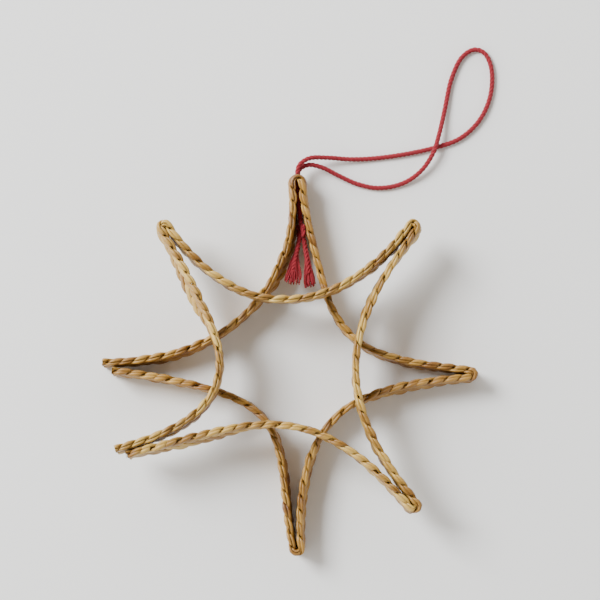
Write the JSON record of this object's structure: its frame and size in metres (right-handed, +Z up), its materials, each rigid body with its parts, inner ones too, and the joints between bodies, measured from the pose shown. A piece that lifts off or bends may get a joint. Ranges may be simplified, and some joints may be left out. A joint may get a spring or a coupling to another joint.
{
  "type": "straw ornament",
  "caption": "Star-shaped hanging ornament of plaited straw bands set on edge, with a loop of red thread.",
  "frame": {"origin": "under the middle of the star's own box, at the height of the lower band's lower edge; the loop of thread is left out", "axes": "+Z up out of the flat star, +Y towards the point that the thread goes through, +X to the right of it"},
  "size_m": [0.0834, 0.108, 0.013],
  "materials": {
    "straw_lower": "dry flattened straw, waxy and softly shining along the stem",
    "straw_upper": "dry flattened straw, waxy and softly shining along the stem",
    "red_thread": "twisted cotton thread, matt"
  },
  "bodies": {
    "root": {"lower_plaited_star": "straw_lower", "upper_plaited_star": "straw_upper", "hanging_loop": "red_thread", "knot_and_tails": "red_thread"}
  },
  "joints": []
}
